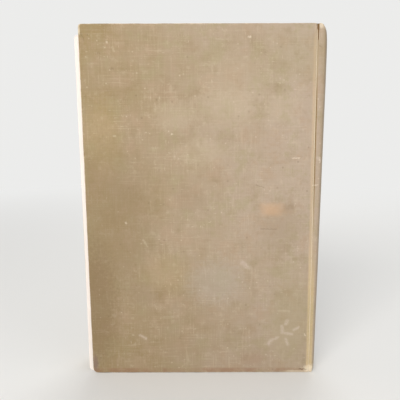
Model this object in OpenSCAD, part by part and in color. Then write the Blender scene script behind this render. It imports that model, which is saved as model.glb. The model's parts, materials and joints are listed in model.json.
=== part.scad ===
// Cloth-bound hardback book, standing on its tail.
// X runs from the fore-edge to the spine, Y from the back cover to the front cover, Z from tail to head.
// The origin lies under the middle of the whole book. Lengths are in millimetres.

/* [Leaves] */
// Height of the trimmed leaves
leaf_h = 233.8; // [200:0.1:238]
// Width of a leaf, from the shoulder to the fore-edge
leaf_w = 160; // [120:0.5:200]
// Thickness of all the leaves together
block_t = 24; // [16:0.5:45]
// Radius worn on the leaves' outer corners
leaf_corner_r = 2.5; // [0.5:0.1:8]
// How far the rounded spine bulges past the shoulders
spine_round = 2.6; // [2:0.1:4]
// How deeply the fore-edge is hollowed
fore_hollow = 3; // [1:0.1:6]
// Width of the flat edge left beside that hollow and behind each shoulder
land = 0.3; // [0.2:0.05:0.6]
// How far each shoulder stands out from the side of the leaves
shoulder_h = 2.8; // [2.2:0.1:3.2]
// Radius in the bend under each shoulder
shoulder_r = 0.8; // [0.5:0.1:1.2]

/* [Boards] */
// How far the boards were cut to overhang the leaves, at head and tail alike
square_h = 2.7; // [1.5:0.1:6]
// How far the leaves now stand out past the cover at the fore-edge
fore_out = 3.45; // [-4:0.05:6]
// Thickness of the board
board_t = 2.6; // [2:0.1:4]
// How much narrower the board is along its head, which leans the joint
board_taper = 3.2; // [0:0.1:5]
// Rounding of the board's long and short edges
board_edge_r = 0.5; // [0.3:0.1:0.9]
// Radius of the cloth-covered corner at the head
head_corner_r = 2.2; // [1:0.1:8]
// Radius of the bumped corner at the tail
tail_corner_r = 3.6; // [1:0.1:8]

/* [Cloth] */
// Thickness of the book cloth
cloth_t = 0.4; // [0.3:0.05:0.6]
// How far the cloth is turned in over the boards and the spine strip
turn_in = 15; // [8:0.5:18]
// Width of the crease between cover and spine
crease_gap = 0.3; // [0.2:0.05:0.5]
// Distance from the board's spine edge to the middle of the crease
crease_inset = 1.1; // [0.9:0.05:1.3]
// Outer radius of the cloth where it rolls over a shoulder
roll_r = 1.4; // [1:0.1:1.6]
// Distance from the shoulder to the middle of that roll
roll_in = 0.6; // [0.4:0.1:0.8]
// Radius of the crushed cap at the head of the spine
cap_head_r = 5; // [1:0.1:10]
// Radius of the worn cap at the tail of the spine
cap_tail_r = 2.5; // [1:0.1:10]
// Width of the tear beside the back joint at the head
tear_w = 1.6; // [0.5:0.1:2.5]
// Length of that tear
tear_h = 5; // [1:0.5:12]

/* [Paper and gauze] */
// Thickness of an endpaper
paper_t = 0.2; // [0.1:0.05:0.25]
// Thickness of the gauze with its glue
mull_t = 0.3; // [0.2:0.05:0.35]
// Width of the gauze on each board
mull_flange_w = 28; // [18:1:40]
// How far the gauze stops short of the cloth's turn-ins
mull_clear = 1; // [0.5:0.5:20]
// Thickness of the glue between the gauze and the paper lining
glue_t = 0.05; // [0.03:0.01:0.1]
// Thickness of the paper lining on the back of the leaves
lining_t = 0.3; // [0.15:0.05:0.4]
// How far the lining stops short of the leaves' head and tail
lining_short = 3; // [1:0.5:10]
// How far the lining stops short of each shoulder, clear of the turned-in spine cloth
lining_inset = 4.8; // [4.2:0.2:9]
// Thickness of the inlay in the spine cloth
strip_t = 0.6; // [0.4:0.05:0.8]
// How far the inlay stops short of the rolls at each side
strip_inset = 0.5; // [0.3:0.1:2]
// Margin of turned-in cloth that shows round a pastedown
pastedown_margin = 4; // [2:0.5:8]

/* [Clearances] */
// Room between a shoulder and the board's spine edge at the tail
joint_gap = 1.45; // [1.3:0.05:2.5]
// Room between a flyleaf and the closed cover
cover_gap = 0.3; // [0.25:0.05:1]
// Depth of the hollow behind the middle of the spine
hollow = 1.35; // [1.3:0.05:2.5]

/* [Hidden] */
$fn = 96;
cut = 1;    // how far a cutting shape runs past the face that it opens

board_h = leaf_h + 2 * square_h;
case_h = board_h + 2 * cloth_t;

// Levels outwards from the middle of the leaves, on either side
side_y = block_t / 2;
shoulder_y = side_y + shoulder_h;
cover_in_y = side_y + paper_t + cover_gap;
turn_in_y = cover_in_y + paper_t;
board_in_y = turn_in_y + cloth_t;
board_out_y = board_in_y + board_t;
cover_out_y = board_out_y + cloth_t;
spine_out_y = shoulder_y + mull_t + cloth_t;

// Places along X, with the book centred between its fore-edge and the crown of its spine
spine_depth = spine_round + mull_t + glue_t + lining_t + hollow + strip_t + cloth_t;
crown_x = (leaf_w + spine_depth) / 2;
shoulder_x = crown_x - spine_depth;
leaf_x = shoulder_x - leaf_w;
cloth_x = leaf_x + fore_out;

// The board's spine edge and the crease beside it lean together
function board_edge_x(z) = shoulder_x - joint_gap - board_taper * z / case_h;
function crease_x(z) = board_edge_x(z) + crease_inset;

// Rounded back of the leaves, which runs from shoulder to shoulder, between two narrow flats
back_edge_x = shoulder_x + land;
back_rise = spine_round - land;
back_r = (pow(shoulder_y, 2) + pow(back_rise, 2)) / (2 * back_rise);
back_x = shoulder_x + spine_round - back_r;
back_angle = asin(shoulder_y / back_r);

// Rounded spine cloth, which meets a small roll over each shoulder without a corner
roll_x = shoulder_x + roll_in;
roll_y = spine_out_y - roll_r;
roll_depth = crown_x - roll_x;
spine_r = (pow(roll_y, 2) + pow(roll_depth, 2) - pow(roll_r, 2)) / (2 * (roll_depth - roll_r));
spine_x = crown_x - spine_r;
spine_angle = atan2(roll_y, roll_x - spine_x);
strip_out_r = spine_r - cloth_t;
strip_in_r = strip_out_r - strip_t;
strip_angle = asin((roll_y - strip_inset) / strip_out_r);

// Hollow of the fore-edge
fore_r = (pow(side_y - land, 2) + pow(fore_hollow, 2)) / (2 * fore_hollow);

mull_z = [turn_in + mull_clear, leaf_h - turn_in - mull_clear];

// A flat outline drawn in X and Z, made solid from y0 to y1
module along_y(y0, y1) {
    translate([0, y1, 0]) rotate([90, 0, 0]) linear_extrude(y1 - y0) children();
}

// A flat outline drawn in Y and Z, made solid from x0 to x1
module along_x(x0, x1) {
    translate([x0, 0, 0]) rotate([90, 0, 90]) linear_extrude(x1 - x0) children();
}

// What a rounded corner takes away at (x, z). right and up are 1 or -1 and point out of the corner.
module corner_nick(x, z, r, right, up) {
    translate([x - right * r, z - up * r]) difference() {
        translate([right > 0 ? 0 : -r - cut, up > 0 ? 0 : -r - cut]) square(r + cut);
        circle(r);
    }
}

module rounded_rect(x0, z0, x1, z1, r) {
    translate([x0 + r, z0]) square([x1 - x0 - 2 * r, z1 - z0]);
    translate([x0, z0 + r]) square([x1 - x0, z1 - z0 - 2 * r]);
    for (x = [x0 + r, x1 - r], z = [z0 + r, z1 - r]) translate([x, z]) circle(r);
}

// Curved band about (cx, 0), as wide as half_angle to each side of +X
module band(cx, r_in, r_out, half_angle) {
    reach = 2 * r_out;
    translate([cx, 0]) intersection() {
        difference() {
            circle(r_out);
            circle(r_in);
        }
        polygon([[0, 0], [reach, -reach * tan(half_angle)], [reach, reach * tan(half_angle)]]);
    }
}

// The part of its children that lies from start_angle to 90 degrees about (x, y). It starts a little
// early, inside the band that it continues.
module bend(x, y, start_angle) {
    reach = 2 * roll_r;
    early = 2;
    translate([x, y]) intersection() {
        children();
        polygon([[0, 0], [reach, reach * tan(start_angle - early)], [reach, reach], [0, reach]]);
    }
}

module both_sides() {
    children();
    mirror([0, 1, 0]) children();
}

// Four-sided outline in X and Z whose right side leans with the board's spine edge, shifted by past
module leaning(x0, z0, z1, past) {
    polygon([
        [x0, z0], [board_edge_x(z0) + past, z0], [board_edge_x(z1) + past, z1], [x0, z1]
    ]);
}

// Band that follows the board's spine edge, from past0 to past1 beyond it
module edge_band(past0, past1, z0, z1) {
    polygon([
        [board_edge_x(z0) + past0, z0], [board_edge_x(z0) + past1, z0],
        [board_edge_x(z1) + past1, z1], [board_edge_x(z1) + past0, z1]
    ]);
}

// Face of the trimmed leaves, with worn corners at the fore-edge
module leaf_outline() {
    difference() {
        translate([leaf_x, 0]) square([leaf_w + spine_depth, leaf_h]);
        corner_nick(leaf_x, 0, leaf_corner_r, -1, -1);
        corner_nick(leaf_x, leaf_h, leaf_corner_r, -1, 1);
    }
}

// Section of the leaves: flat sides, bent out to a shoulder at each side, rounded back, hollow fore-edge
module leaf_section() {
    difference() {
        union() {
            translate([leaf_x, -shoulder_y]) square([leaf_w, 2 * shoulder_y]);
            intersection() {
                translate([back_x, 0]) circle(back_r);
                translate([back_x, -shoulder_y]) square([back_r + cut, 2 * shoulder_y]);
            }
        }
        both_sides() side_recess();
        translate([leaf_x + fore_hollow - fore_r, 0]) circle(fore_r);
    }
}

// What lies beside the leaves, up to the shoulder, with a rounded bend in its corner
module side_recess() {
    bend_x = shoulder_x - shoulder_r;
    bend_y = side_y + shoulder_r;
    far_y = shoulder_y + cut;
    translate([leaf_x - cut, side_y]) square([bend_x - leaf_x + cut, far_y - side_y]);
    translate([leaf_x - cut, bend_y]) square([shoulder_x - leaf_x + cut, far_y - bend_y]);
    translate([bend_x, bend_y]) circle(shoulder_r);
}

module text_block() {
    color([0.90, 0.84, 0.74]) intersection() {
        linear_extrude(leaf_h) leaf_section();
        along_y(-shoulder_y - cut, shoulder_y + cut) leaf_outline();
    }
}

// Free endpaper: it lies on the leaves, turns in the joint and runs up the shoulder
module front_flyleaf() {
    bend_x = shoulder_x - shoulder_r;
    bend_y = side_y + shoulder_r;
    color([0.95, 0.90, 0.82]) intersection() {
        linear_extrude(leaf_h) {
            translate([leaf_x, side_y]) square([leaf_w - shoulder_r, paper_t]);
            translate([shoulder_x - paper_t, bend_y]) square([paper_t, shoulder_y - bend_y]);
            intersection() {
                translate([bend_x, bend_y]) difference() {
                    circle(shoulder_r);
                    circle(shoulder_r - paper_t);
                }
                translate([bend_x, side_y]) square(shoulder_r);
            }
        }
        along_y(side_y - cut, shoulder_y + cut) leaf_outline();
    }
}

module back_flyleaf() mirror([0, 1, 0]) front_flyleaf();

// Gauze over the rounded back, which leaves each shoulder towards its board
module mull() {
    color([0.78, 0.72, 0.58]) {
        translate([0, 0, mull_z[0]]) linear_extrude(mull_z[1] - mull_z[0]) {
            band(back_x, back_r, back_r + mull_t, back_angle);
            both_sides() bend(back_edge_x, shoulder_y, back_angle) circle(mull_t);
        }
        both_sides() along_y(shoulder_y, shoulder_y + mull_t) polygon([
            [crease_x(mull_z[0]) + crease_gap / 2, mull_z[0]], [back_edge_x, mull_z[0]],
            [back_edge_x, mull_z[1]], [crease_x(mull_z[1]) + crease_gap / 2, mull_z[1]]
        ]);
    }
}

// Paper glued over the gauze
module spine_lining() {
    lining_in_r = back_r + mull_t + glue_t;
    color([0.62, 0.48, 0.32]) translate([0, 0, lining_short]) linear_extrude(leaf_h - 2 * lining_short)
        band(back_x, lining_in_r, lining_in_r + lining_t, asin((shoulder_y - lining_inset) / lining_in_r));
}

// The spine seen from the side, set in by inset all round. Its left side is the leaning crease.
module spine_outline(inset) {
    difference() {
        polygon([
            [crease_x(inset) + crease_gap / 2, inset], [crown_x - inset, inset],
            [crown_x - inset, case_h - inset], [crease_x(case_h - inset) + crease_gap / 2, case_h - inset]
        ]);
        corner_nick(crown_x - inset, inset, cap_tail_r - inset, 1, -1);
        corner_nick(crown_x - inset, case_h - inset, cap_head_r - inset, 1, 1);
    }
}

module spine_outline_solid(inset) {
    along_y(-cover_out_y, cover_out_y) spine_outline(inset);
}

module strip_section() {
    band(spine_x, strip_in_r, strip_out_r, strip_angle);
}

// Stiff paper inlay that keeps the spine cloth in its curve
module spine_strip() {
    color([0.66, 0.56, 0.42]) intersection() {
        linear_extrude(case_h) strip_section();
        spine_outline_solid(cloth_t);
    }
}

// One layer of cloth from crease to crease, over both shoulders and the rounded spine
module spine_cloth_section() {
    flat_x = crease_x(case_h);
    band(spine_x, spine_r - cloth_t, spine_r, spine_angle);
    both_sides() {
        bend(roll_x, roll_y, spine_angle) difference() {
            circle(roll_r);
            circle(roll_r - cloth_t);
        }
        translate([flat_x, spine_out_y - cloth_t]) square([roll_x - flat_x, cloth_t]);
    }
}

// Tear in the spine cloth beside the back joint, open at the head
module head_tear() {
    tip_z = case_h - tear_h;
    start_x = crease_x(case_h) - cut;
    along_y(-cover_out_y, 0) polygon([
        [start_x, case_h + cut], [crease_x(case_h) + crease_gap / 2 + tear_w, case_h + cut],
        [crease_x(tip_z) + crease_gap / 2, tip_z], [start_x, tip_z]
    ]);
}

// Spine cloth, folded over both ends of the inlay and turned in behind it
module spine_cloth() {
    color([0.69, 0.60, 0.47]) difference() {
        union() {
            intersection() {
                spine_outline_solid(0);
                union() {
                    linear_extrude(case_h) spine_cloth_section();
                    for (z = [0, case_h - turn_in]) translate([0, 0, z]) linear_extrude(turn_in)
                        band(spine_x, strip_in_r - cloth_t, strip_in_r, strip_angle);
                }
            }
            difference() {
                intersection() {
                    linear_extrude(case_h) strip_section();
                    spine_outline_solid(0);
                }
                spine_outline_solid(cloth_t);
            }
        }
        head_tear();
    }
}

// The front cover's body, set in by inset all round, with its spine side past beyond the board's edge.
// Its two outer corners and its long and short edges are rounded.
module cover_body(inset, past) {
    edge_r = board_edge_r + cloth_t - inset;
    low_y = turn_in_y + inset;
    high_y = cover_out_y - inset;
    low_x = cloth_x + inset;
    far_x = crown_x;
    intersection() {
        along_y(low_y, high_y) difference() {
            leaning(low_x, inset, case_h - inset, past);
            corner_nick(low_x, inset, tail_corner_r - inset, -1, -1);
            corner_nick(low_x, case_h - inset, head_corner_r - inset, -1, 1);
        }
        linear_extrude(case_h) rounded_rect(low_x, low_y, far_x, high_y, edge_r);
        along_x(low_x, far_x) rounded_rect(low_y, inset, high_y, case_h - inset, edge_r);
    }
}

module front_board() {
    color([0.55, 0.50, 0.42]) cover_body(cloth_t, 0);
}

module back_board() mirror([0, 1, 0]) front_board();

// The window inside the turn-ins, made smaller by inset
module turn_in_window(inset) {
    leaning(cloth_x + turn_in + inset, turn_in + inset, case_h - turn_in - inset, joint_gap);
}

// Cloth over a board: its outer face, its edges and the turn-ins. One layer runs on to the crease.
module front_cloth() {
    color([0.70, 0.61, 0.47]) {
        difference() {
            cover_body(0, 0);
            cover_body(cloth_t, joint_gap);
            along_y(turn_in_y - cut, board_in_y + board_edge_r) turn_in_window(0);
        }
        intersection() {
            cover_body(0, crease_inset - crease_gap / 2);
            along_y(board_out_y, cover_out_y) edge_band(-joint_gap, joint_gap, 0, case_h);
        }
    }
}

module back_cloth() mirror([0, 1, 0]) front_cloth();

// Gauze glued to the board, with the lip that runs up the board's spine edge into the joint
module front_mull_flange() {
    color([0.78, 0.72, 0.58]) {
        along_y(board_in_y - mull_t, board_in_y) edge_band(-mull_flange_w, mull_t, mull_z[0], mull_z[1]);
        along_y(board_in_y, board_out_y) edge_band(0, mull_t, mull_z[0], mull_z[1]);
    }
}

module back_mull_flange() mirror([0, 1, 0]) front_mull_flange();

// What lies under a pastedown: board, turn-ins and gauze, all grown by grow towards the leaves
module pastedown_bed(grow) {
    past = mull_t + grow;
    along_y(board_in_y - grow, board_out_y) leaning(cloth_x, 0, case_h, past);
    along_y(turn_in_y - grow, board_in_y) difference() {
        leaning(cloth_x, 0, case_h, past);
        turn_in_window(grow);
    }
    along_y(board_in_y - mull_t - grow, board_in_y)
        edge_band(-mull_flange_w - grow, past, mull_z[0] - grow, mull_z[1] + grow);
}

// Pasted half of the endpaper: it steps over the turn-ins and the gauze and turns up into the joint
module front_pastedown() {
    color([0.88, 0.81, 0.68]) difference() {
        intersection() {
            pastedown_bed(paper_t);
            along_y(cover_in_y, board_out_y) leaning(
                cloth_x + pastedown_margin, pastedown_margin, case_h - pastedown_margin, mull_t + paper_t
            );
        }
        pastedown_bed(0);
    }
}

module back_pastedown() mirror([0, 1, 0]) front_pastedown();

text_block();
back_flyleaf();
front_flyleaf();
mull();
spine_lining();
spine_strip();
spine_cloth();
back_board();
back_cloth();
back_mull_flange();
back_pastedown();
front_board();
front_cloth();
front_mull_flange();
front_pastedown();
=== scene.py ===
# Hardback book in worn olive cloth: the looks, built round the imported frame, in metres.
import json
import math
import random

import bmesh
import bpy
from mathutils import Matrix, Vector, noise


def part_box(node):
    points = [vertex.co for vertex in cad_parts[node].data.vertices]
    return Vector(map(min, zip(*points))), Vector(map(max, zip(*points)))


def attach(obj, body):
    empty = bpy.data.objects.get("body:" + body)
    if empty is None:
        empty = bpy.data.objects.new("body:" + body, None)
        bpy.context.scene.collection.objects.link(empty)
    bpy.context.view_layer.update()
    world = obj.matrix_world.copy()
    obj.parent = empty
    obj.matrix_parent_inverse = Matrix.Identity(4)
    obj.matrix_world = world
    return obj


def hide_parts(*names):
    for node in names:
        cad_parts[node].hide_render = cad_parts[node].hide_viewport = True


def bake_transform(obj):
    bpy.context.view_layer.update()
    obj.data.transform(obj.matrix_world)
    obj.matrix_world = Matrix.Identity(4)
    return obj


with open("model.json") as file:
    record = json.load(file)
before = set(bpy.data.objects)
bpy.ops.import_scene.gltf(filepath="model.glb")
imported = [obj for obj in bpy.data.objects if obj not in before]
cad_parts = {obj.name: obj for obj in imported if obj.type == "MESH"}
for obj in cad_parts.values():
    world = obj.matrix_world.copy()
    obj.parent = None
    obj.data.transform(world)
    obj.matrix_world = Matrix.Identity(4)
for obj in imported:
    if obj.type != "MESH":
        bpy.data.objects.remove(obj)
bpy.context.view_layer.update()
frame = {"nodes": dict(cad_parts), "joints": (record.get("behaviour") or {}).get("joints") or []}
nodes = frame["nodes"]
mm = 0.001
sharpAngle = math.radians(50)  # steeper folds of a thickened piece get a crisp edge

# Places that the frame gives. X runs from fore-edge to spine, Y from back to front, Z from tail to head.
leafLow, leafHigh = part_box("text_block")
coverLow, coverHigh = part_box("front_cloth")
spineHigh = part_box("spine_cloth")[1]
flyLow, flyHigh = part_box("front_flyleaf")
pasteLow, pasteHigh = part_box("front_pastedown")
hinge = next(j for j in frame["joints"] if j["name"] == "front_hinge")
hingeX = hinge["pos_m"][0]
hingeLean = hinge["axis"][0] / hinge["axis"][2]
caseHeight = coverHigh.z
foreX = coverLow.x
crownX = spineHigh.x
print("frame loaded")


def creaseX(z):
    return hingeX + hingeLean * z


def mixed(a, b, t):
    return a + (b - a) * t


def eased(low, high, value):
    t = min(max((value - low) / (high - low), 0), 1)
    return t * t * (3 - 2 * t)


def gradedSteps(length, first, cell, growth=1.35):  # distances from an edge, fine beside it
    steps = [0]
    step = first
    while steps[-1] + step < length:
        steps.append(steps[-1] + step)
        step = min(step * growth, cell)
    steps.append(steps[-1] + step)
    return [s * length / steps[-1] for s in steps]


def gradedBothEnds(length, first, cell):
    half = gradedSteps(length / 2, first, cell)
    return half + [length - s for s in reversed(half[:-1])]


def placed(name, data):  # a new object in the scene
    made = bpy.data.objects.new(name, data)
    bpy.context.scene.collection.objects.link(made)
    return made


def gridOf(bm, columns, rows):  # the vertices of a new grid, each with its column and row
    made = bmesh.ops.create_grid(bm, x_segments=columns, y_segments=rows, size=0.5)
    return [(v, round((v.co.x + 0.5) * columns), round((v.co.y + 0.5) * rows)) for v in made["verts"]]


def finishMesh(name, bm, material):
    mesh = bpy.data.meshes.new(name)
    bm.to_mesh(mesh)
    bm.free()
    mesh.shade_smooth()
    piece = placed(name, mesh)
    mesh.materials.append(material)
    return piece


def thicken(piece, thickness, offset=-1):
    solid = piece.modifiers.new("thickness", "SOLIDIFY")
    solid.thickness = thickness
    solid.offset = offset
    solid.use_even_offset = False
    graph = bpy.context.evaluated_depsgraph_get()
    shaped = bpy.data.meshes.new_from_object(piece.evaluated_get(graph))
    piece.modifiers.clear()
    piece.data = shaped
    shaped.set_sharp_from_angle(angle=sharpAngle)
    keepInHeight(shaped)


def keepInHeight(mesh):  # nothing reaches below the surface that the book stands on, or above its case
    for v in mesh.vertices:
        v.co.z = min(max(v.co.z, 0), caseHeight)


# Camera and light

cameraPlace = {
    "position": Vector((-1.95, -304.6, 173.8)) * mm,
    "pitchDown": 9.32,
    "roll": 0.15,
    "lens": 38.97,
    "sensor": 36,
}


def placeCamera():
    data = bpy.data.cameras.new("camera")
    data.lens = cameraPlace["lens"]
    data.sensor_width = cameraPlace["sensor"]
    data.clip_start = 10 * mm
    camera = placed("camera", data)
    tilt = Matrix.Rotation(math.radians(90 - cameraPlace["pitchDown"]), 4, "X")
    turn = Matrix.Rotation(math.radians(-cameraPlace["roll"]), 4, "Z")
    camera.matrix_world = Matrix.Translation(cameraPlace["position"]) @ tilt @ turn
    bpy.context.scene.camera = camera


lamps = {
    "key": {"place": (-0.4, -0.95, 0.8), "size": 0.7, "power": 10.5, "colour": (1, 0.98, 0.95)},
    "fill": {"place": (0.9, -0.45, 0.5), "size": 1, "power": 2.4, "colour": (0.96, 0.98, 1)},
    "back": {"place": (0.2, 1, 0.9), "size": 1, "power": 7, "colour": (1, 0.99, 0.97)},
}
lampTarget = Vector((0, 0, 120)) * mm
surroundings = {
    "light": (1, 1, 1, 1),
    "strength": 0.42,
    "seen": (0.84, 0.84, 0.83, 1),
    "floor": (0.78, 0.78, 0.77, 1),
    "fadeStart": 0.3,
    "fadeEnd": 1.1,
}


def placeLamps():
    for name, lamp in lamps.items():
        data = bpy.data.lights.new(name, "AREA")
        data.size = lamp["size"]
        data.energy = lamp["power"]
        data.color = lamp["colour"]
        light = placed(name, data)
        light.location = lamp["place"]
        aim = lampTarget - light.location
        light.rotation_euler = aim.to_track_quat("-Z", "Y").to_euler()


# Shader helpers

def tone(red, green, blue):  # a screen colour, 0 to 255, as the linear colour that a shader takes
    linear = []
    for part in (red, green, blue):
        c = part / 255
        linear.append(c / 12.92 if c <= 0.04045 else ((c + 0.055) / 1.055) ** 2.4)
    return (*linear, 1)


def addNode(tree, kind, inputs=None, **settings):
    made = tree.nodes.new(kind)
    for key, value in settings.items():
        setattr(made, key, value)
    for key, value in (inputs or {}).items():
        if isinstance(value, bpy.types.NodeSocket):
            tree.links.new(value, made.inputs[key])
        else:
            made.inputs[key].default_value = value
    return made


def calc(tree, operation, a, b=0, c=0, clamp=False):
    made = addNode(tree, "ShaderNodeMath", {0: a, 1: b, 2: c}, operation=operation, use_clamp=clamp)
    return made.outputs[0]


def chain(tree, operation, first, *others):
    for other in others:
        first = calc(tree, operation, first, other)
    return first


def times(tree, *values):
    return chain(tree, "MULTIPLY", *values)


def swayed(tree, value, shake, amount, clamp=False):  # a value moved up and down by a noise of 0 to 1
    return calc(tree, "MULTIPLY_ADD", calc(tree, "SUBTRACT", shake, 0.5), amount, value, clamp)


def ramp(tree, value, low, high, toLow=0, toHigh=1, smooth=True):
    made = addNode(
        tree, "ShaderNodeMapRange",
        {"Value": value, "From Min": low, "From Max": high, "To Min": toLow, "To Max": toHigh},
        interpolation_type="SMOOTHSTEP" if smooth else "LINEAR",
    )
    return made.outputs["Result"]


def bandMask(tree, value, low, high, soft):  # 1 between low and high, fading over soft outside them
    rise = ramp(tree, value, low - soft, low)
    fall = ramp(tree, value, high, high + soft, 1, 0)
    return times(tree, rise, fall)


def vectorCalc(tree, operation, a, b=(0, 0, 0), c=(0, 0, 0)):
    return addNode(tree, "ShaderNodeVectorMath", {0: a, 1: b, 2: c}, operation=operation).outputs


def scaled(tree, vector, x, y, z):
    return vectorCalc(tree, "MULTIPLY", vector, (x, y, z))[0]


def split(tree, vector):
    return addNode(tree, "ShaderNodeSeparateXYZ", {0: vector}).outputs


def noisy(tree, vector, scale, detail=3, rough=0.55):
    inputs = {"Vector": vector, "Scale": scale, "Detail": detail, "Roughness": rough}
    return addNode(tree, "ShaderNodeTexNoise", inputs).outputs["Fac"]


def newGroup(name, inputs, outputs):
    group = bpy.data.node_groups.new(name, "ShaderNodeTree")
    kinds = {"v": "NodeSocketVector", "f": "NodeSocketFloat"}
    for label, kind in inputs:
        group.interface.new_socket(name=label, in_out="INPUT", socket_type=kinds[kind])
    for label in outputs:
        group.interface.new_socket(name=label, in_out="OUTPUT", socket_type=kinds["f"])
    return group, group.nodes.new("NodeGroupInput").outputs, group.nodes.new("NodeGroupOutput")


def putOut(group, out, **values):
    for label, value in values.items():
        group.links.new(value, out.inputs[label])
    return group


def useGroup(tree, group, **inputs):
    return addNode(tree, "ShaderNodeGroup", inputs, node_tree=group).outputs


def buildStreakGroup():  # a thin mark from one point to another, fading out sideways
    inputs = [("Place", "v"), ("Start", "v"), ("End", "v"), ("Width", "f")]
    group, given, out = newGroup("streakMark", inputs, ["Mask"])
    along = vectorCalc(group, "SUBTRACT", given["End"], given["Start"])[0]
    away = vectorCalc(group, "SUBTRACT", given["Place"], given["Start"])[0]
    reach = vectorCalc(group, "DOT_PRODUCT", away, along)["Value"]
    length = vectorCalc(group, "DOT_PRODUCT", along, along)["Value"]
    share = calc(group, "DIVIDE", reach, length, clamp=True)
    foot = vectorCalc(group, "MULTIPLY", along, share)[0]
    near = calc(group, "DIVIDE", vectorCalc(group, "DISTANCE", away, foot)["Value"], given["Width"])
    return putOut(group, out, Mask=ramp(group, near, 0, 1, 1, 0))


def buildBlotchGroup():  # a soft patch with ragged sides; Square goes from round to a rounded rectangle
    inputs = [("Place", "v"), ("Centre", "v"), ("Size", "v"), ("Ragged", "f"), ("Square", "f")]
    group, given, out = newGroup("softBlotch", inputs, ["Mask"])
    away = vectorCalc(group, "SUBTRACT", given["Place"], given["Centre"])[0]
    share = vectorCalc(group, "DIVIDE", away, given["Size"])[0]
    longest = chain(group, "MAXIMUM", *split(group, vectorCalc(group, "ABSOLUTE", share)[0]))
    reach = vectorCalc(group, "LENGTH", share)["Value"]
    shape = addNode(group, "ShaderNodeMix", {0: given["Square"], 2: reach, 3: longest}).outputs[0]
    rough = swayed(group, shape, noisy(group, given["Place"], 0.45, 4, 0.6), given["Ragged"])
    return putOut(group, out, Mask=ramp(group, rough, 0.35, 1.15, 1, 0))


unevenThreads = {  # scale of the noise along and across the threads, its detail and its roughness
    "slub": (0.05, 1.9, 2, 0.6),
    "dash": (0.28, 1.6, 1, 0.5),
    "strand": (0.045, 0.85, 1, 0.5),
}


def buildWeaveGroup():  # plain weave with thick and thin threads, on flat cloth coordinates in millimetres
    outputs = ["Height", "Slub", "Gap", "Dash", "Strand"]
    group, given, out = newGroup("plainWeave", [("Flat", "v"), ("Pitch", "f")], outputs)
    wander = noisy(group, given["Flat"], 0.25, 2)
    sides = split(group, given["Flat"])
    heights, threads = [], {kind: [] for kind in unevenThreads}
    for axis in (0, 1):
        bent = calc(group, "MULTIPLY_ADD", wander, 0.5, sides[axis])
        turn = calc(group, "DIVIDE", times(group, bent, 2 * math.pi), given["Pitch"])
        heights.append(calc(group, "MULTIPLY_ADD", calc(group, "SINE", turn), 0.5, 0.5))
        for kind, (along, across, detail, rough) in unevenThreads.items():
            stretch = (along, across, 1) if axis == 1 else (across, along, 1)
            threads[kind].append(noisy(group, scaled(group, given["Flat"], *stretch), 1, detail, rough))
    slub = times(group, calc(group, "ADD", *threads["slub"]), 0.5)
    return putOut(
        group, out, Slub=slub,
        Height=calc(group, "MULTIPLY_ADD", slub, 1.6, calc(group, "MAXIMUM", *heights)),
        Gap=ramp(group, times(group, *heights), 0, 0.12, 1, 0),
        Dash=ramp(group, calc(group, "MAXIMUM", *threads["dash"]), 0.66, 0.8),
        Strand=ramp(group, calc(group, "MAXIMUM", *threads["strand"]), 0.56, 0.76, 0, 0.55),
    )


def buildPaperGroup():  # fibres, browning and foxing of old paper, on places in millimetres
    outputs = ["Shade", "Spots", "Height"]
    group, given, out = newGroup("oldPaper", [("Place", "v"), ("Foxing", "f")], outputs)
    cloud = noisy(group, given["Place"], 0.03, 4, 0.6)
    fibre = noisy(group, given["Place"], 1.4, 4, 0.7)
    shade = calc(group, "MULTIPLY_ADD", fibre, 0.25, times(group, cloud, 0.75))
    cells = addNode(group, "ShaderNodeTexVoronoi", {"Vector": given["Place"], "Scale": 0.09})
    soft = noisy(group, given["Place"], 0.8, 3)
    near = calc(group, "MULTIPLY_ADD", soft, 0.12, cells.outputs["Distance"])
    reach = calc(group, "MULTIPLY_ADD", split(group, cells.outputs["Color"])[0], 0.1, 0.04)
    spots = ramp(group, calc(group, "SUBTRACT", near, reach), 0, 0.07, 1, 0)
    return putOut(group, out, Shade=shade, Spots=times(group, spots, given["Foxing"]), Height=fibre)


streakMark = buildStreakGroup()
softBlotch = buildBlotchGroup()
plainWeave = buildWeaveGroup()
oldPaper = buildPaperGroup()


def startMaterial(name, roughness, specular):
    material = bpy.data.materials.new(name)
    material.use_nodes = True
    tree = material.node_tree
    shader = tree.nodes["Principled BSDF"]
    shader.inputs["Roughness"].default_value = roughness
    shader.inputs["Specular IOR Level"].default_value = specular
    place = addNode(tree, "ShaderNodeTexCoord").outputs["Object"]
    return material, tree, scaled(tree, place, 1 / mm, 1 / mm, 1 / mm)


def finishLook(material, colour, height, strength, distance):
    tree = material.node_tree
    shader = tree.nodes["Principled BSDF"]
    bump = addNode(tree, "ShaderNodeBump", {"Height": height, "Strength": strength, "Distance": distance})
    tree.links.new(bump.outputs["Normal"], shader.inputs["Normal"])
    tree.links.new(colour, shader.inputs["Base Color"])
    return material


# Marks on the back cover, as places on it in millimetres: X from the middle of the book, Z from its foot

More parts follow.
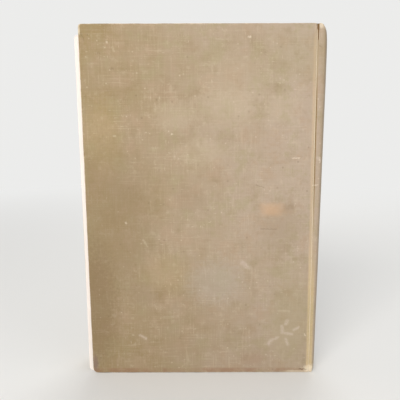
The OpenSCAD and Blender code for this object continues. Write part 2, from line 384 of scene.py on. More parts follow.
backMarks = {  # tone, strength, and streaks as start, end and width
    "scuff": ("scuff", 0.46, [
        ((46.8, 22.4), (48.6, 24.9), 2.5), ((48.7, 24.9), (53.3, 27.2), 1.7),
        ((55.8, 35.5), (56.7, 30.6), 2.2), ((56.7, 30.6), (63.1, 29.5), 1.8),
        ((58.6, 37.4), (59.6, 39.8), 2.1), ((64.5, 32.9), (67.9, 34.9), 1.6),
        ((59, 25.7), (60.6, 21.9), 1.9), ((-45, 29.1), (-40.6, 26.4), 1.6),
        ((27.5, 82.4), (31.4, 79.2), 2.8), ((76.2, 154.6), (79, 152.4), 1.6),
    ]),
    "faint": ("light", 0.4, [
        ((53, 47.2), (60.8, 46.8), 1.3), ((-41, 98.7), (-38.4, 94.4), 1.3),
        ((52.6, 139.1), (53.1, 137.7), 1.1), ((-57.5, 225.6), (-56.6, 223.2), 1.2),
    ]),
    "thread": ("fleck", 0.7, [
        ((59.9, 154.5), (64.5, 154.5), 0.7), ((73.6, 136.3), (77.3, 136.3), 0.7),
        ((29.3, 231.5), (30.3, 231.5), 1.1), ((-52.6, 110.9), (-52, 110.5), 1.1),
        ((-58.8, 169.2), (-58.3, 169.3), 1), ((72, 29.9), (72.5, 28.7), 0.8),
        ((-20.6, 170.5), (-20.2, 170.4), 1), ((-61.3, 228.6), (-60.9, 228.4), 1),
        ((77.9, 154.9), (77.9, 151.5), 0.6),
    ]),
    "dark": ("speck", 0.32, [
        ((35.6, 136.7), (40.7, 134.9), 0.9), ((39.7, 106.4), (49.9, 106.2), 0.8),
        ((-67.6, 221.8), (-67.2, 221.6), 1), ((-66.4, 222.1), (-66, 221.9), 1),
        ((-58.8, 212.5), (-57.6, 212.2), 1.1), ((33.5, 188.9), (33.8, 188.8), 0.9),
        ((74.9, 226.1), (75.3, 226), 0.9), ((-77.5, 234.5), (-75.8, 229.7), 0.7),
    ]),
    "slit": ("speck", 0.75, [((69.4, 2.9), (74, 2.5), 0.8)]),
}
backPatches = [  # centre, half size, tone, strength, raggedness, squareness
    ((47, 119.6), (9.6, 5.8), "rub", 0.5, 0.9, 0.7),
    ((46.6, 119), (5, 3), "rub", 0.3, 1.2, 0.3),
    ((58.8, 121.6), (4.8, 2.8), "grime", 0.22, 1, 0.3),
    ((60, 30), (13, 12), "pink", 0.4, 1.2, 0),
    ((35.8, 10.3), (11, 6), "brown", 0.24, 1.1, 0.2),
    ((-77.4, 8), (2.6, 7.5), "bruise", 0.7, 0.6, 0),
    ((76.6, 2.5), (5.8, 4.2), "bare", 0.9, 1.6, 0),
    ((66, 0.9), (9, 1.1), "bare", 0.6, 0.7, 0),
    ((75.6, 238.8), (1.8, 2.6), "bare", 0.65, 0.7, 0),
    ((78.6, 238), (3, 2), "bare", 0.3, 0.9, 0),
    ((-78.6, 235.6), (0.9, 3.2), "bare", 0.7, 0.6, 0),
    ((-26, 74), (22, 18), "yellow", 0.16, 1.2, 0),
    ((-66, 168), (16, 30), "yellow", 0.24, 1.2, 0),
    ((-62, 112), (36, 64), "deep", 0.54, 1.1, 0),
    ((-76, 50), (20, 56), "soil", 0.6, 0.9, 0),
    ((-40, 60), (16, 12), "soil", 0.18, 1.2, 0),
    ((54, 108), (20, 22), "deep", 0.3, 1.2, 0),
    ((-9, 126), (13, 12), "deep", 0.24, 1.3, 0),
    ((62, 40), (20, 40), "moss", 0.36, 1.2, 0),
    ((8, 68), (24, 20), "ash", 0.34, 1.2, 0),
    ((-2, 158), (20, 12), "light", 0.28, 1.3, 0),
    ((62, 220), (26, 22), "moss", 0.24, 1.2, 0),
    ((52, 187), (14, 12), "light", 0.24, 1.2, 0),
    ((16, 187), (26, 16), "light", 0.26, 1.2, 0),
    ((20, 205), (30, 20), "light", 0.16, 1.2, 0),
    ((-20, 182), (16, 12), "light", 0.25, 1.4, 0),
]
clothTones = {
    "olive": (157, 136, 99),
    "pink": (183, 164, 145),
    "yellow": (180, 159, 107),
    "moss": (164, 152, 116),
    "rosy": (178, 152, 127),
    "deep": (147, 127, 98),
    "light": (200, 183, 158),
    "ash": (184, 173, 162),
    # rubbed wear with a painted highlight over the board's edge, in two tones
    "ridgeWearAndHighlight": (204, 180, 149),
    "cream": (208, 185, 140),
    "soil": (134, 112, 82),
    "grime": (122, 100, 72),
    # painted shade in the crease
    "crease": (142, 116, 76),
    "bare": (232, 216, 190),
    "brown": (148, 112, 86),
    "bruise": (134, 108, 104),
    "rub": (212, 174, 140),
    "scuff": (207, 190, 176),
    "fleck": (222, 207, 184),
    "speck": (100, 82, 58),
    "fresh": (146, 130, 96),
    # painted shade behind the tear
    "torn": (132, 102, 64),
}


def coated(tree, colour, *coats):  # layers over a colour, each a tone of the cloth or its own, and its mask
    for shade, mask in coats:
        top = tone(*clothTones.get(shade, shade))
        colour = addNode(tree, "ShaderNodeMix", {0: mask, 6: colour, 7: top}, data_type="RGBA").outputs[2]
    return colour


# Olive at the fore-edge, pinker at the spine and darker at the foot, in clouds
def paintGround(tree, place, xyz, weave, mottle):
    blot = noisy(tree, place, 0.02, 5, 0.62)
    smudge = noisy(tree, place, 0.22, 4, 0.6)
    hue = noisy(tree, scaled(tree, place, 1, 0.3, 1), 0.06, 5, 0.72)
    across = ramp(tree, xyz[0], -82, 60, 0, 1, smooth=False)
    cloud = swayed(tree, swayed(tree, across, blot, 1.1), mottle, 0.6, clamp=True)
    patchy = ramp(tree, noisy(tree, place, 0.06, 3), 0.42, 0.6, 0.1, 0.5)
    return coated(
        tree, tone(*clothTones["olive"]),
        ("pink", cloud),
        ("moss", ramp(tree, hue, 0.5, 0.36, 0, 0.45)),
        ("rosy", ramp(tree, hue, 0.5, 0.64, 0, 0.45)),
        ("deep", ramp(tree, xyz[2], 120, 0, 0, 0.3)),
        ("deep", ramp(tree, mottle, 0.48, 0.3, 0, 0.28)),
        ("light", ramp(tree, smudge, 0.55, 0.74, 0, 0.28)),
        ("deep", ramp(tree, smudge, 0.42, 0.28, 0, 0.2)),
        ("grime", ramp(tree, weave["Slub"], 0.46, 0.3, 0, 0.18)),
        ("light", ramp(tree, weave["Slub"], 0.52, 0.66, 0, 0.32)),
        ("grime", times(tree, weave["Gap"], 0.08)),
        ("light", times(tree, weave["Strand"], patchy)),
        ("fleck", times(tree, weave["Dash"], patchy)),
    )


def paintFlecks(tree, place, colour):
    for scale, share, shade, strength in ((0.4, 0.04, "fleck", 0.4), (0.3, 0.03, "speck", 0.3)):
        cells = addNode(tree, "ShaderNodeTexVoronoi", {"Vector": place, "Scale": scale})
        some = ramp(tree, split(tree, cells.outputs["Color"])[0], share, share + 0.02, 1, 0)
        dot = ramp(tree, cells.outputs["Distance"], 0.05, 0.32, strength, 0)
        colour = coated(tree, colour, (shade, times(tree, some, dot)))
    return colour


# A ridge over the board's edge, partly rubbed and partly a painted highlight, painted shade in the crease,
# and painted shade on the spine beside it
def paintJoint(tree, xyz, colour, mottle, grain, outside):
    crease = calc(tree, "MULTIPLY_ADD", xyz[2], hingeLean, hingeX / mm)
    offset = calc(tree, "SUBTRACT", crease, xyz[0])
    # painted highlight with rubbing: pale bands over the board's edge, a wider cream one low down
    patchyWearAndHighlight = times(tree, ramp(tree, grain, 0.3, 0.6, 0.5, 0.8), outside)
    ridgeWearAndHighlight = times(tree, bandMask(tree, swayed(tree, offset, mottle, 1.2), 0.9, 1.8, 1.7), patchyWearAndHighlight)
    wide = times(tree, bandMask(tree, offset, -0.9, 1.7, 1.6), patchyWearAndHighlight)
    # painted shade: the spine's face darkens past the crease, where it turns away
    spineShade = times(tree, ramp(tree, offset, -1.6, -4.8, 0, 0.55), ramp(tree, grain, 0.25, 0.6, 0.6, 1))
    # painted shade: a dark line along the bottom of the crease
    creaseShade = times(tree, bandMask(tree, offset, -0.15, 0.25, 0.5), ramp(tree, grain, 0.2, 0.6, 0.6, 0.95))
    high = ramp(tree, xyz[2], 186, 216, 1, 0.3)
    low = ramp(tree, xyz[2], 92, 148)
    colour = coated(
        tree, colour,
        ("ridgeWearAndHighlight", times(tree, ridgeWearAndHighlight, ramp(tree, xyz[2], 222, 237, 1, 0.35))),
        ("cream", times(tree, wide, ramp(tree, xyz[2], 104, 54, 0, 0.85))),
        ("deep", spineShade),
        ("crease", times(tree, creaseShade, outside, high, low)),
    )
    return colour, offset


def paintEdges(tree, place, xyz, colour, mottle, grain, outside):
    fromHead = calc(tree, "SUBTRACT", caseHeight / mm, xyz[2])
    fromFore = calc(tree, "SUBTRACT", xyz[0], foreX / mm)
    foot = times(tree, bandMask(tree, xyz[2], 1.2, 3, 1.4), ramp(tree, mottle, 0.42, 0.62, 0.1, 0.6))
    edge = swayed(tree, chain(tree, "MINIMUM", fromHead, xyz[2], fromFore), grain, 0.9)
    patchy = ramp(tree, noisy(tree, place, 0.12, 4, 0.7), 0.42, 0.62, 0.1, 0.7)
    upper, lower = (calc(tree, "ADD", height, fromFore) for height in (fromHead, xyz[2]))
    corner = swayed(tree, calc(tree, "MINIMUM", upper, lower), grain, 2.6)
    return coated(
        tree, colour,
        ("brown", times(tree, foot, outside)),
        ("bare", times(tree, ramp(tree, edge, 0.1, 0.85, 1, 0), patchy)),
        ("bare", ramp(tree, corner, 1.2, 3.6, 0.75, 0)),
    )


# The spine's face: streaks of handling, soil towards both ends, and caps rubbed bare
def paintSpine(tree, place, xyz, colour, offset, mottle, grain):
    face = ramp(tree, offset, -3.6, -5.2)
    end = calc(tree, "MINIMUM", calc(tree, "SUBTRACT", caseHeight / mm, xyz[2]), xyz[2])
    streaks = noisy(tree, scaled(tree, place, 0.6, 0.9, 0.04), 1, 4, 0.65)
    clouds = noisy(tree, scaled(tree, place, 1, 1, 0.5), 0.11, 4, 0.7)
    ends = ramp(tree, end, 46, 4, 0, 0.55)
    caps = ramp(tree, swayed(tree, end, grain, 3), 1.8, 4.6, 0.8, 0)
    coats = [
        ("soil", times(tree, ends, ramp(tree, clouds, 0.35, 0.6, 0.3, 1))),
        ("soil", ramp(tree, streaks, 0.45, 0.3, 0, 0.4)),
        ("light", ramp(tree, streaks, 0.55, 0.7, 0, 0.4)),
        ("light", ramp(tree, clouds, 0.5, 0.68, 0, 0.3)),
        ("bare", times(tree, caps, ramp(tree, mottle, 0.38, 0.58, 0.35, 1))),
    ]
    return coated(tree, colour, *((shade, times(tree, mask, face)) for shade, mask in coats))


def facing(pair, depth=0):  # a place or a size on the back cover as a vector
    return (pair[0], depth, pair[1])


def paintBackMarks(tree, place, xyz, colour):
    back = ramp(tree, xyz[1], -15, -14.4, 1, 0)
    level = scaled(tree, place, 1, 0, 1)
    wobble = addNode(tree, "ShaderNodeTexNoise", {"Vector": place, "Scale": 0.7, "Detail": 3})
    centred = vectorCalc(tree, "SUBTRACT", wobble.outputs["Color"], (0.5, 0.5, 0.5))[0]
    shaken = vectorCalc(tree, "MULTIPLY_ADD", centred, (2, 0, 2), level)[0]
    for centre, size, shade, strength, ragged, square in backPatches:
        patch = useGroup(
            tree, softBlotch, Place=level, Centre=facing(centre), Size=facing(size, 1),
            Ragged=ragged, Square=square,
        )["Mask"]
        colour = coated(tree, colour, (shade, times(tree, patch, back, strength)))
    broken = ramp(tree, noisy(tree, place, 1.1, 3, 0.65), 0.3, 0.55, 0.35, 1)
    for shade, strength, places in backMarks.values():
        streaks = [
            useGroup(tree, streakMark, Place=shaken, Start=facing(low), End=facing(high), Width=wide)["Mask"]
            for low, high, wide in places
        ]
        mask = times(tree, chain(tree, "MAXIMUM", *streaks), back, broken, strength)
        colour = coated(tree, colour, (shade, mask))
    return colour


def buildBookCloth():
    material, tree, place = startMaterial("bookCloth", 0.9, 0.18)
    shader = tree.nodes["Principled BSDF"]
    shader.inputs["Sheen Weight"].default_value = 0.12
    shader.inputs["Sheen Roughness"].default_value = 0.5
    xyz = split(tree, place)
    flat = addNode(tree, "ShaderNodeUVMap", uv_map="flat").outputs["UV"]
    weave = useGroup(tree, plainWeave, Flat=scaled(tree, flat, 1 / mm, 1 / mm, 0), Pitch=0.5)
    mottle = noisy(tree, place, 0.075, 5, 0.65)
    grain = noisy(tree, place, 0.9, 3, 0.6)
    depth = calc(tree, "ABSOLUTE", xyz[1])
    outside = ramp(tree, depth, 14.6, 15.2)
    colour = paintGround(tree, place, xyz, weave, mottle)
    colour = paintFlecks(tree, place, colour)
    colour, offset = paintJoint(tree, xyz, colour, mottle, grain, outside)
    colour = paintEdges(tree, place, xyz, colour, mottle, grain, outside)
    turnedIn = times(tree, ramp(tree, offset, -1, 0.5), ramp(tree, depth, 13.4, 13, 0, 0.75))
    colour = coated(tree, colour, ("fresh", turnedIn))
    colour = paintSpine(tree, place, xyz, colour, offset, mottle, grain)
    colour = paintBackMarks(tree, place, xyz, colour)
    # painted shade: the turned-in cloth seen through the tear at the head is painted dark brown
    behind = times(tree, bandMask(tree, offset, -1.8, 1.8, 0.4), bandMask(tree, xyz[1], -14.95, -13.2, 0.15))
    colour = coated(tree, colour, ("torn", times(tree, behind, ramp(tree, xyz[2], 224, 228))))
    height = calc(tree, "MULTIPLY_ADD", mottle, 1.2, weave["Height"])
    return finishLook(material, colour, height, 0.35, 0.12 * mm)


papers = {  # each has another tone from its outer edges inwards
    "flyleafPaper": {
        "pale": (238, 228, 209), "brown": (228, 213, 188), "fox": (190, 144, 96), "foxing": 0.3,
        # painted highlight: the flyleaf is near-white along its fore-edge, the strip that shows beside the
        # board
        "edges": {"x": flyLow.x / mm, "start": 3, "reach": 26, "tone": (252, 242, 236), "most": 0.95},
    },
    "endpaper": {
        "pale": (240, 228, 204), "brown": (230, 213, 184), "fox": (176, 126, 80), "foxing": 0.5,
        "edges": {
            "x": pasteLow.x / mm, "z": pasteHigh.z / mm, "start": 0, "reach": 18,
            "tone": (206, 180, 140), "most": 0.5,
        },
    },
}
pulps = {
    "kraftPaper": {"pale": (172, 134, 92), "dark": (140, 104, 66), "scale": 0.7},
    "millboard": {"pale": (160, 144, 118), "dark": (124, 108, 84), "scale": 0.9},
}


def buildPaper(name):
    paper, edges = papers[name], papers[name]["edges"]
    material, tree, place = startMaterial(name, 0.85, 0.2)
    aged = useGroup(tree, oldPaper, Place=place, Foxing=paper["foxing"])
    xyz = split(tree, place)
    near = calc(tree, "SUBTRACT", xyz[0], edges["x"])
    if "z" in edges:
        near = chain(tree, "MINIMUM", near, calc(tree, "SUBTRACT", edges["z"], xyz[2]), xyz[2])
    share = ramp(tree, near, edges["start"], edges["reach"], edges["most"], 0)
    colour = coated(
        tree, tone(*paper["pale"]),
        (paper["brown"], ramp(tree, aged["Shade"], 0.38, 0.68, 0, 0.8)),
        (edges["tone"], share),
        (paper["fox"], aged["Spots"]),
    )
    return finishLook(material, colour, aged["Height"], 0.25, 0.05 * mm)


def buildLeafEdges():  # leaves seen edge on: each sheet has its own tint
    material, tree, place = startMaterial("leafEdges", 0.88, 0.15)
    aged = useGroup(tree, oldPaper, Place=place, Foxing=0.3)
    sheet = addNode(tree, "ShaderNodeAttribute", attribute_name="sheet").outputs["Fac"]
    tint = addNode(tree, "ShaderNodeTexWhiteNoise", {"W": sheet}, noise_dimensions="1D").outputs["Value"]
    head = leafHigh.z / mm
    grit = ramp(tree, aged["Height"], 0.3, 0.6, 0.2, 0.5)
    dust = times(tree, ramp(tree, split(tree, place)[2], head - 0.8, head - 0.25), grit)
    colour = coated(
        tree, tone(240, 228, 206),
        ((222, 203, 172), ramp(tree, aged["Shade"], 0.35, 0.7)),
        ((196, 172, 136), times(tree, tint, 0.4)),
        ((158, 142, 118), dust),
        ((176, 122, 76), aged["Spots"]),
    )
    return finishLook(material, colour, aged["Height"], 0.3, 0.05 * mm)


def buildGauze():
    material, tree, place = startMaterial("gauze", 0.9, 0.15)
    xyz = split(tree, place)
    flat = addNode(tree, "ShaderNodeCombineXYZ", {0: calc(tree, "ADD", xyz[0], xyz[1]), 1: xyz[2]})
    weave = useGroup(tree, plainWeave, Flat=flat.outputs[0], Pitch=1)
    colour = coated(tree, tone(206, 192, 160), ((152, 126, 88), weave["Gap"]))
    return finishLook(material, colour, weave["Height"], 0.6, 0.2 * mm)


def buildPulp(name):
    pulp = pulps[name]
    material, tree, place = startMaterial(name, 0.92, 0.12)
    fibre = noisy(tree, place, pulp["scale"], 5, 0.7)
    layers = noisy(tree, scaled(tree, place, 0.3, 6, 0.3), 1, 3)
    colour = coated(
        tree, tone(*pulp["pale"]),
        (pulp["dark"], ramp(tree, fibre, 0.3, 0.7)),
        (pulp["dark"], ramp(tree, layers, 0.5, 0.7, 0, 0.4)),
    )
    return finishLook(material, colour, fibre, 0.4, 0.1 * mm)


bookCloth = buildBookCloth()
flyleafPaper = buildPaper("flyleafPaper")
endpaper = buildPaper("endpaper")
leafEdges = buildLeafEdges()
gauze = buildGauze()
kraftPaper = buildPulp("kraftPaper")
millboard = buildPulp("millboard")
print("materials built")


# The case: one cloth, in two pieces that meet in the back joint, where the back cover starts to swing

caseCloth = {
    "thickness": 0.4 * mm,
    "turnIn": 15 * mm,
    "edgeRadius": 0.9 * mm,
    "edgeShare": 0.48,  # of the wall behind it, the most that the edge's radius takes
    "headCorner": 2.2 * mm,
    "tailCorner": 3.6 * mm,
    "spineRound": 2.6 * mm,
    "rollRadius": 1.6 * mm,
    "rollThinner": 0.25 * mm,
    "rollIn": 0.6 * mm,
    "inlay": 0.6 * mm,
    "jointWall": 0.9 * mm,
    "jointReach": 0.9 * mm,
    "boardStart": (0.9 * mm, 1.3 * mm),
    "firstCell": 0.35 * mm,
    "cell": 2.6 * mm,
    "gradedOver": 150 * mm,
    "spineSteps": (("arc", 18), ("roll", 6), ("shoulder", 4)),
    "weld": 0.002 * mm,
    # the crease in section: distance from the hinge line towards the cover, depth below the cover's face
    "crease": [
        (-0.6, 0.61), (-0.35, 0.66), (-0.1, 0.76), (0.1, 0.8), (0.35, 0.76), (0.6, 0.62), (0.85, 0.42),
        (1.1, 0.24), (1.4, 0.1), (1.8, 0), (2.4, -0.03), (3.2, 0),
    ],
    # the spine flattened and pushed in towards head and tail: share or depth, reach, at the head or not
    "flattened": [(0.2, 2.4 * mm, True), (0.07, 9 * mm, True), (0.18, 1.6 * mm, False)],
    "pushedIn": [(1.9 * mm, 1.5 * mm, True), (0.9 * mm, 5 * mm, True), (0.3 * mm, 1.2 * mm, False)],
    "creaseDip": 0.25 * mm,
    "creaseDipReach": (0.2 * mm, 1.6 * mm),
    "rollDip": 0.5 * mm,
    "headDip": 1.7 * mm,
    "tailDip": 0.3 * mm,
    "waviness": 0.06 * mm,
    "waves": (35, 110),
    "fray": 0.16 * mm,
    "threads": (160, 700),
    "tearHeight": 5.4 * mm,
    "tearWidth": 1.7 * mm,
    "tearShift": 0.65 * mm,
    "tearDepth": 1.1 * mm,
    "tearRag": 0.14 * mm,
    "crackHeight": 10.5 * mm,
    "crackWidth": 0.55 * mm,
    "crackShift": 0.15 * mm,
    "blend": (0.9 * mm, 0.9 * mm, 0.12),  # before the joint, after it, and its lean
}
shoulderX = leafHigh.x - caseCloth["spineRound"]
rollX = shoulderX + caseCloth["rollIn"]
rollY = spineHigh.y - caseCloth["rollRadius"]
rollDepth = crownX - rollX
rollRadius = caseCloth["rollRadius"]
spineRadius = (rollY ** 2 + rollDepth ** 2 - rollRadius ** 2) / (2 * (rollDepth - rollRadius))
spineX = crownX - spineRadius
spineAngle = math.atan2(rollY, rollX - spineX)


def wearAt(kind, z):  # sum of a kind of wear, each part fading out over its reach from the head or the tail
    return sum(a * math.exp(-(caseHeight - z if head else z) / reach) for a, reach, head in caseCloth[kind])


def spineWear(x, z):  # where the wear has moved a place on the spine
    return mixed(x, rollX, wearAt("flattened", z)) - wearAt("pushedIn", z)


# Columns run over the cloth as (part, place in it, side of the book); the front piece has the whole spine
def caseColumns(front):
    side = 1 if front else -1
    cover = [("crease", pair, side) for pair in caseCloth["crease"]]
    steps = gradedSteps(caseCloth["gradedOver"], caseCloth["firstCell"], caseCloth["cell"])
    cover += [("cover", 1 - s / steps[-1], side) for s in reversed(steps[:-1])]
    if not front:
        return [("shoulder", 1, side)] + cover
    spine = [("arc", 0)]
    for kind, count in caseCloth["spineSteps"]:
        spine += [(kind, (k + 1) / count) for k in range(count)]
    backHalf = [(*c, -1) for c in reversed(spine)]
    return backHalf + [(*c, 1) for c in spine[1:]] + cover


# A point of the case's outer face: its place, its outward direction, and how thick the case is behind it
def casePoint(column, z):
    kind, value, side = column
    spineWall = 2 * caseCloth["thickness"] + caseCloth["inlay"]
    coverWall = coverHigh.y - coverLow.y
    if kind == "arc":
        angle = spineAngle * value * side
        out = Vector((math.cos(angle), math.sin(angle), 0))
        x = spineWear(spineX + spineRadius * out.x, z)
        return Vector((x, spineRadius * out.y, z)), out, spineWall
    if kind == "roll":
        angle = mixed(spineAngle, math.pi / 2, value)
        out = Vector((math.cos(angle), side * math.sin(angle), 0))
        x = spineWear(rollX + rollRadius * out.x, z)
        wall = spineWall - caseCloth["rollThinner"] * math.sin(math.pi * value)
        return Vector((x, side * rollY + rollRadius * out.y, z)), out, wall
    out = Vector((0, side, 0))
    if kind == "shoulder":
        x = mixed(spineWear(rollX, z), creaseX(z) + caseCloth["jointReach"], value)
        return Vector((x, side * spineHigh.y, z)), out, mixed(spineWall, caseCloth["jointWall"], value)
    if kind == "crease":
        reach, depth = value[0] * mm, value[1] * mm
        wall = mixed(caseCloth["jointWall"], coverWall - depth, eased(*caseCloth["boardStart"], reach))
        return Vector((creaseX(z) - reach, side * (coverHigh.y - depth), z)), out, wall
    start = creaseX(z) - caseCloth["crease"][-1][0] * mm
    x = mixed(start, foreX + caseCloth["edgeRadius"], value)
    return Vector((x, side * coverHigh.y, z)), out, coverWall


def edgeDip(column, head):  # how far the case's head or tail edge is worn down at a column
    kind, value = column[:2]
    if kind == "arc":
        middle = math.cos(math.pi / 2 * value) ** 2
        if head:
            return mixed(caseCloth["rollDip"], caseCloth["headDip"], middle)
        return caseCloth["tailDip"] * middle
    if kind == "roll":
        return caseCloth["rollDip"] * (1 - value) if head else 0
    if kind == "crease":
        near, far = caseCloth["creaseDipReach"]
        return caseCloth["creaseDip"] * (1 - eased(near, far, abs(value[0] * mm - near)))
    return 0


# Rings of the grid past the edge: round the outer edge, down the wall, round the inner edge, and the turn-in
bendSteps = 4
bendAngle = math.pi / 2 / bendSteps
edgeRings = 2 * bendSteps + 1
turnInShares = (0.07, 0.2, 0.5, 1)
wrapRings = edgeRings + len(turnInShares)


def wrapStep(ring, wall, radius):  # outward reach, depth, and share of the turn-in, for a ring past the edge
    if ring <= bendSteps:
        angle = ring * bendAngle
        return radius * math.sin(angle), radius * (1 - math.cos(angle)), 0
    if ring <= edgeRings:
        angle = (ring - bendSteps - 1) * bendAngle
        return radius * math.cos(angle), wall - radius + radius * math.sin(angle), 0
    return 0, wall, turnInShares[ring - edgeRings - 1]


# Pulls a corner of the grid onto an arc; away and up are distances from its two sides
def roundedCorner(away, up, radius):
    a, b = radius - away, radius - up
    if a <= 0 or b <= 0:
        return away, up
    longest, shortest = max(a, b), min(a, b)
    turn = math.pi / 4 * shortest / longest
    big, small = longest * math.cos(turn), longest * math.sin(turn)
    return (radius - big, radius - small) if a >= b else (radius - small, radius - big)


def caseVertex(column, row, columns, rows):
    last = len(columns) - 1
    ring = max(column - last, -row, row - (len(rows) - 1), 0)
    spot = columns[min(column, last)]
    share = rows[min(max(row, 0), len(rows) - 1)]
    wallThere = casePoint(spot, share * caseHeight)[2]
    radius = min(caseCloth["edgeRadius"], caseCloth["edgeShare"] * wallThere)
    low = edgeDip(spot, False) + radius
    high = caseHeight - edgeDip(spot, True) - radius
    z = mixed(low, high, share)
    place, out, wall = casePoint(spot, z)
    reach = Vector((-1, 0, 0)) if column > last else Vector((0, 0, 1 if row > 0 else -1))
    if spot[0] == "cover":
        upper = share > 0.5
        sign = 1 if upper else -1
        edge = high if upper else low
        bend = caseCloth["headCorner" if upper else "tailCorner"] - radius
        away, up = roundedCorner(place.x - foreX - radius, abs(edge - z), bend)
        place = Vector((foreX + radius + away, place.y, edge - sign * up))
        if away < bend and up < bend:
            reach = Vector((away - bend, 0, sign * (bend - up))).normalized()
    if ring:
        outward, depth, turned = wrapStep(ring, wall, radius)
        place = place + reach * outward - out * depth
        if turned:
            turnIn = caseCloth["turnIn"]
            goalZ = min(max(z, turnIn), caseHeight - turnIn)
            onCover = spot[0] == "cover"
            goal, goalOut, goalWall = casePoint(spot, goalZ if onCover else mixed(z, goalZ, turned))
            if onCover:
                goal.x = max(goal.x, foreX + turnIn)
            place = place.lerp(goal - goalOut * goalWall, turned if onCover else 1)
    broad, narrow = (noise.noise(place * scale) for scale in caseCloth["waves"])
    place = place + out * (broad + 0.5 * narrow) * caseCloth["waviness"]
    if 1 <= ring <= edgeRings:
        broad, narrow = (noise.noise(place * scale) for scale in caseCloth["threads"])
        rag = broad + 0.6 * narrow
        place += reach * min(rag, 0.2) * caseCloth["fray"]
    return place


def clothLengths(columns, rows):  # distances over the flat cloth for every grid line: across, and up
    middle = caseHeight / 2
    across = [0]
    for a, b in zip(columns, columns[1:]):
        across.append(across[-1] + (casePoint(b, middle)[0] - casePoint(a, middle)[0]).length)
    wall = coverHigh.y - coverLow.y
    radius = caseCloth["edgeRadius"]
    bend = [radius * bendAngle * k for k in range(1, bendSteps + 1)]
    past = bend + [bend[-1] + wall - 2 * radius + r for r in [0] + bend]
    past += [past[-1] + caseCloth["turnIn"] * share for share in turnInShares]
    across += [across[-1] + p for p in past]
    up = [-p for p in reversed(past)] + [row * caseHeight for row in rows] + [caseHeight + p for p in past]
    return across, up


frontAcross = clothLengths(caseColumns(True), [0, 1])[0]
crownColumn = len([c for c in caseColumns(True) if c[2] < 0]) - 1
backStart = frontAcross[crownColumn]  # from the crown to the back joint, over the cloth


def buildCasePiece(name, front):
    columns = caseColumns(front)
    rows = [s / caseHeight for s in gradedBothEnds(caseHeight, caseCloth["firstCell"], caseCloth["cell"])]
    last, top = len(columns) - 1, len(rows) - 1
    bm = bmesh.new()
    spare = bm.verts.layers.int.new("spare")
    uv = bm.loops.layers.uv.new("flat")
    gridPlace = {}
    for v, column, ring in gridOf(bm, last + wrapRings, top + 2 * wrapRings):
        row = ring - wrapRings
        v[spare] = int(column > last and (row < 0 or row > top))
        v.co = caseVertex(column, row, columns, rows)
        gridPlace[v] = (column, ring)
    across, up = clothLengths(columns, rows)
    for f in bm.faces:
        for loop in f.loops:
            column, ring = gridPlace[loop.vert]
            u = across[column] - backStart if front else -across[column] - backStart
            loop[uv].uv = (u, up[ring])
    extra = [f for f in bm.faces if any(v[spare] for v in f.verts)]
    bmesh.ops.delete(bm, geom=extra, context="FACES")
    tearHead(bm)
    if not front:
        bmesh.ops.reverse_faces(bm, faces=bm.faces)
    bmesh.ops.remove_doubles(bm, verts=bm.verts, dist=caseCloth["weld"])
    piece = finishMesh(name, bm, bookCloth)
    cut = (across[-1], up[-1] - up[0])
    return piece, cut, cut[0] * cut[1] - 2 * (across[-1] - across[last]) ** 2


def tearHead(bm):  # the split beside the back joint, open at the head, and the crack that runs on below it
    torn = []
    for f in bm.faces:
        middle = f.calc_center_median()
        below = caseHeight - middle.z
        if middle.y > -coverHigh.y + caseCloth["tearDepth"] or below > caseCloth["crackHeight"]:
            continue
        gape = max(1 - below / caseCloth["tearHeight"], 0) ** 0.7
        half = (caseCloth["tearWidth"] * gape + caseCloth["crackWidth"]) / 2
        offset = middle.x - creaseX(middle.z) + caseCloth["tearShift"] * gape - caseCloth["crackShift"]
        if abs(offset + caseCloth["tearRag"] * noise.noise(middle * 900)) < half:
            torn.append(f)
    bmesh.ops.delete(bm, geom=torn, context="FACES")


def blendAcrossJoint(piece, side, before, after, lean=0):
    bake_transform(piece)


for word, side in (("back", -1), ("front", 1)):
    piece, cutSize, cutArea = buildCasePiece(word + "_case_cloth", side > 0)
    thicken(piece, caseCloth["thickness"])
    blendAcrossJoint(piece, side, *caseCloth["blend"])
    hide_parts(word + "_cloth", *(["spine_cloth"] if side > 0 else []))
print("case cloth built")


# Stiff paper inlay behind the spine cloth, pushed in with it at head and tail

inlay = {"margin": 0.5 * mm, "rows": 60, "across": 24, "sideGap": 0.5 * mm}


def buildInlay():
    bm = bmesh.new()
    bmesh.ops.create_grid(bm, x_segments=inlay["across"], y_segments=inlay["rows"], size=0.5)
    inner = spineRadius - caseCloth["thickness"]
    widest = math.asin((rollY - inlay["sideGap"]) / inner)
    for v in bm.verts:
        angle = 2 * v.co.x * widest
        dip = math.cos(math.pi / 2 * abs(angle) / spineAngle) ** 2
        low = inlay["margin"] + caseCloth["tailDip"] * dip
        high = caseHeight - inlay["margin"] - caseCloth["headDip"] * dip
        z = mixed(low, high, eased(0, 1, v.co.y + 0.5))
        face = spineX + spineRadius * math.cos(angle)
        behind = spineWear(face, z) - face
        v.co = Vector((spineX + inner * math.cos(angle) + behind, inner * math.sin(angle), z))
    return finishMesh("spine_inlay", bm, millboard)


spineInlay = buildInlay()
thicken(spineInlay, caseCloth["inlay"])
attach(spineInlay, "block")
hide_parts("spine_strip")


# Leaves: sheets from fore-edge to back, bent out to the shoulders

leaves = {
    "sheets": 80,
    "foreHollow": 3 * mm,
    "cornerRadius": 2.5 * mm,
    "stagger": 0.22 * mm,
    "headStagger": 0.2 * mm,
    "bendLength": 9 * mm,  # at the middle of the block
    "outerBend": 0.8 * mm,  # at its outer leaves
    "straight": 0.3,
    "bendSteps": 8,
    "rowsFromEnd": (0, 0.4 * mm, 1.1 * mm, 2.6 * mm, 40 * mm),
    "fill": 0.94,
    "seed": 11,
}
sideY = flyLow.y
shoulderY = leafHigh.y


